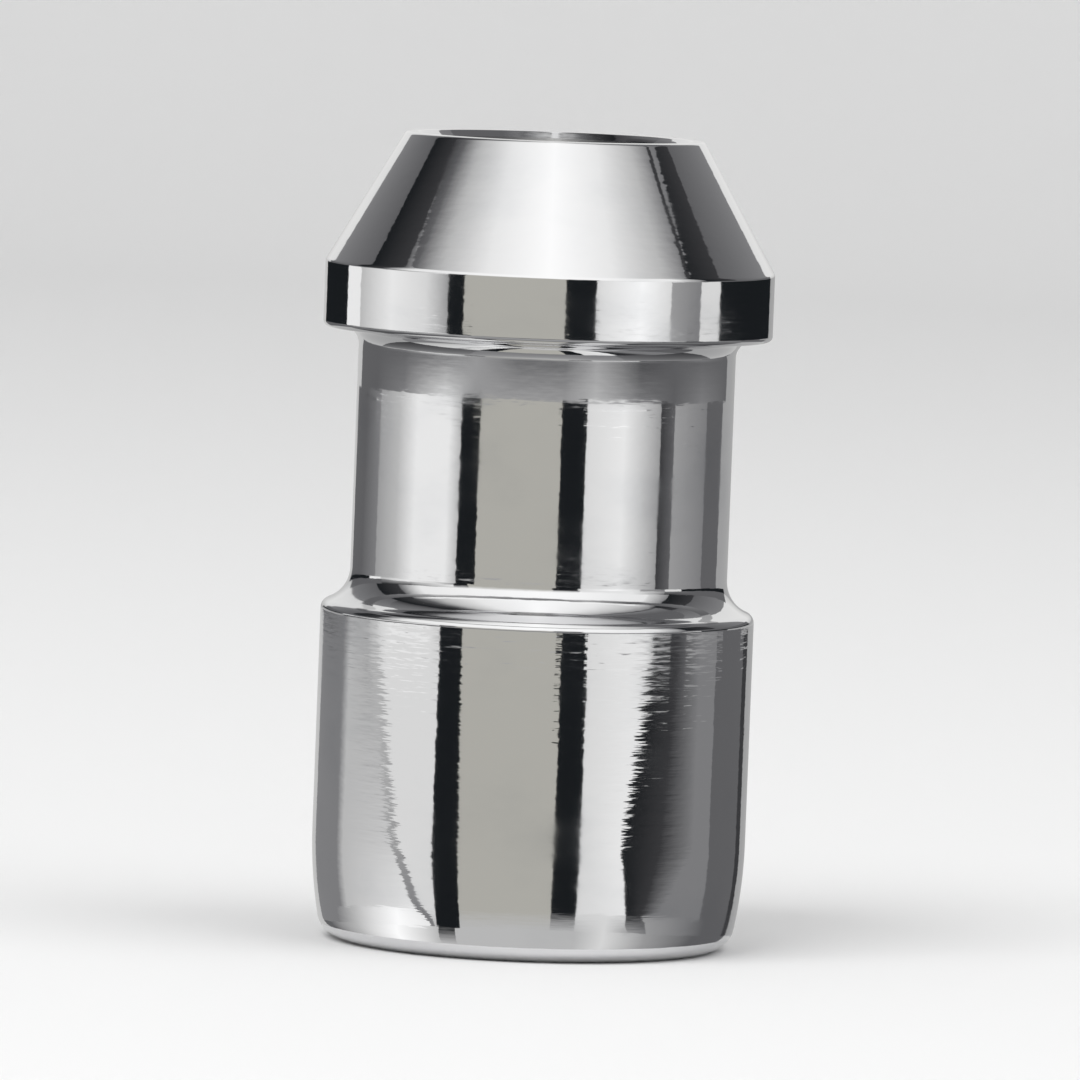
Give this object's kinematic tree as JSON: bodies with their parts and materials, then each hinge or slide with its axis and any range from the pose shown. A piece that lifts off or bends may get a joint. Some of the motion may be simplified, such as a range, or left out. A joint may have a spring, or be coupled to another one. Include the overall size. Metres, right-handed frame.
{
  "type": "locking wheel nut",
  "caption": "Locking wheel nut, chrome plated, with a plain round head, a waisted neck, a collar, a conical seat and a blind threaded bore.",
  "frame": {"origin": "centre of the flat face of the head, on which the nut stands", "axes": "+Z along the axis of the thread, out of the open seat end"},
  "size_m": [0.0206, 0.0206, 0.0371],
  "materials": {
    "chrome_plate": "bright chrome plate over fine turning lines"
  },
  "bodies": {
    "root": {"locking_nut": "chrome_plate"}
  },
  "joints": []
}
